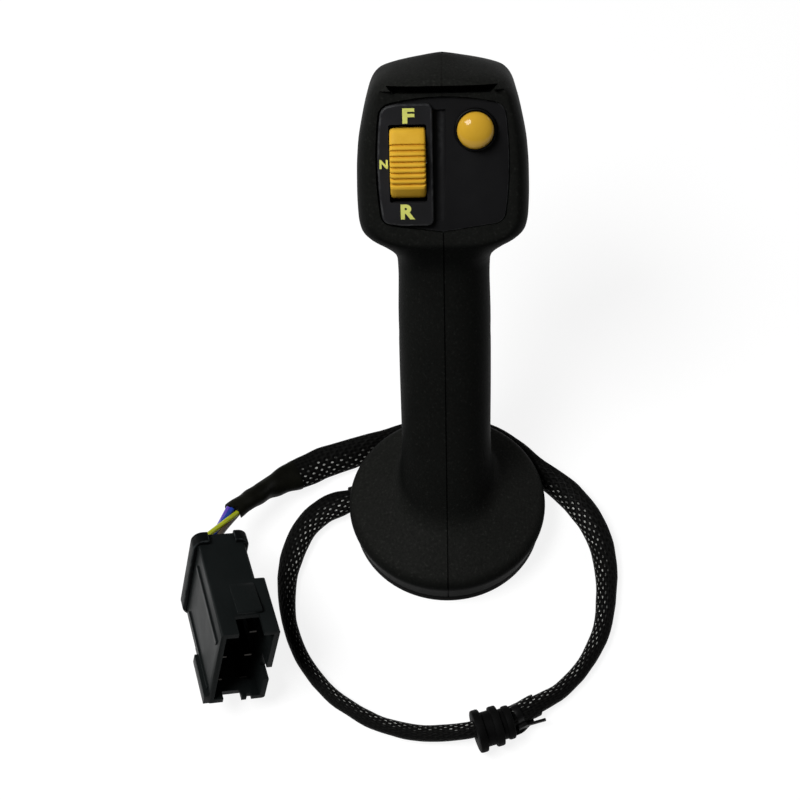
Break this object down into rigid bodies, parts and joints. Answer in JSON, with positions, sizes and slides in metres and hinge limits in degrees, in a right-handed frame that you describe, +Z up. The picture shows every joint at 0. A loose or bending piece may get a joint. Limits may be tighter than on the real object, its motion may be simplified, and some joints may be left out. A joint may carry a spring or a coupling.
{
  "type": "industrial joystick",
  "caption": "Hand-grip joystick with a thumb direction rocker and a push button, on a round skirted flange, with a sleeved harness and plug.",
  "frame": {"origin": "centre of the flange's bottom opening, on the bottom face", "axes": "+Z up, square to the flange's bottom face; +Y to the back, the way the grip leans; +X to the operator's right"},
  "size_m": [0.1844, 0.2152, 0.1906],
  "materials": {
    "grip_plastic": "black moulded polyamide, satin with a fine stipple",
    "ring_plastic": "black moulded polyamide, satin",
    "zinc_steel": "zinc-plated",
    "socket_metal": "machined",
    "black_steel": "black oxide",
    "panel_plastic": "black moulded plastic, satin",
    "bezel_plastic": "black moulded plastic, semi-gloss",
    "rocker_yellow": "yellow moulded plastic, semi-gloss",
    "cap_yellow": "yellow moulded plastic, glossy",
    "collar_black": "black moulded plastic, glossy",
    "bright_steel": "nickel-plated",
    "acetal": "natural acetal",
    "switch_plastic": "black moulded plastic",
    "brass_blades": "bright",
    "lead_black": "sleeved lead bundle",
    "lead_brown": "insulated leads",
    "lead_violet": "insulated leads",
    "black_rubber": "moulded rubber",
    "braided_sleeve": "braided polyester sleeve over a lead bundle",
    "sleeve_tape": "folded sleeve end",
    "tie_nylon": "black nylon",
    "shrink_tube": "heat-shrink tube",
    "wire_set": "coloured insulated wires",
    "plug_plastic": "black moulded plastic, satin",
    "collar_plastic": "black moulded plastic, satin",
    "lock_plastic": "black moulded plastic, satin",
    "tin_blades": "tin-plated",
    "seal_rubber": "moulded seal"
  },
  "bodies": {
    "handle": {"left_shell": "grip_plastic", "right_shell": "grip_plastic", "base_ring": "ring_plastic", "ring_screws": "zinc_steel", "lever_socket": "socket_metal", "set_screws": "black_steel", "shell_screws": "black_steel", "cross_bolt": "black_steel", "cross_nut": "zinc_steel", "control_panel": "panel_plastic", "rocker_bezel": "bezel_plastic", "rocker_pin": "bright_steel", "detent_cam": "acetal", "rocker_switch_body": "switch_plastic", "rocker_terminals": "brass_blades", "button_spring": "bright_steel", "button_collar": "collar_black", "button_washer": "bright_steel", "button_nut": "bright_steel", "button_switch_body": "switch_plastic", "button_terminals": "brass_blades", "main_leads": "lead_black", "rocker_leads": "lead_brown", "button_leads": "lead_violet", "exit_grommet": "black_rubber", "cord": "braided_sleeve", "slot_grommet": "black_rubber", "cord_tie": "tie_nylon", "sleeve_tail": "sleeve_tape", "heat_shrink": "shrink_tube", "plug_wires": "wire_set", "plug_housing": "plug_plastic", "plug_rear_collar": "collar_plastic", "plug_lock_wedge": "lock_plastic", "plug_pins": "tin_blades", "plug_seal": "seal_rubber"},
    "rocker": {"direction_rocker": "rocker_yellow", "detent_plunger": "acetal"},
    "button": {"button_cap": "cap_yellow", "button_stem": "acetal"}
  },
  "joints": [
    {"name": "rocker_turn", "type": "hinge", "parent": "handle", "child": "rocker", "pos_m": [-0.0127, 0.06106, 0.16153], "axis": [1, 0, 0], "range_deg": [-10, 10]},
    {"name": "button_press", "type": "slide", "parent": "handle", "child": "button", "axis": [0, 0.788, -0.6157], "range_m": [0, 0.0018], "stiffness_N_per_m": 600, "springref_m": -0.003, "deforming": ["button_spring"]}
  ]
}
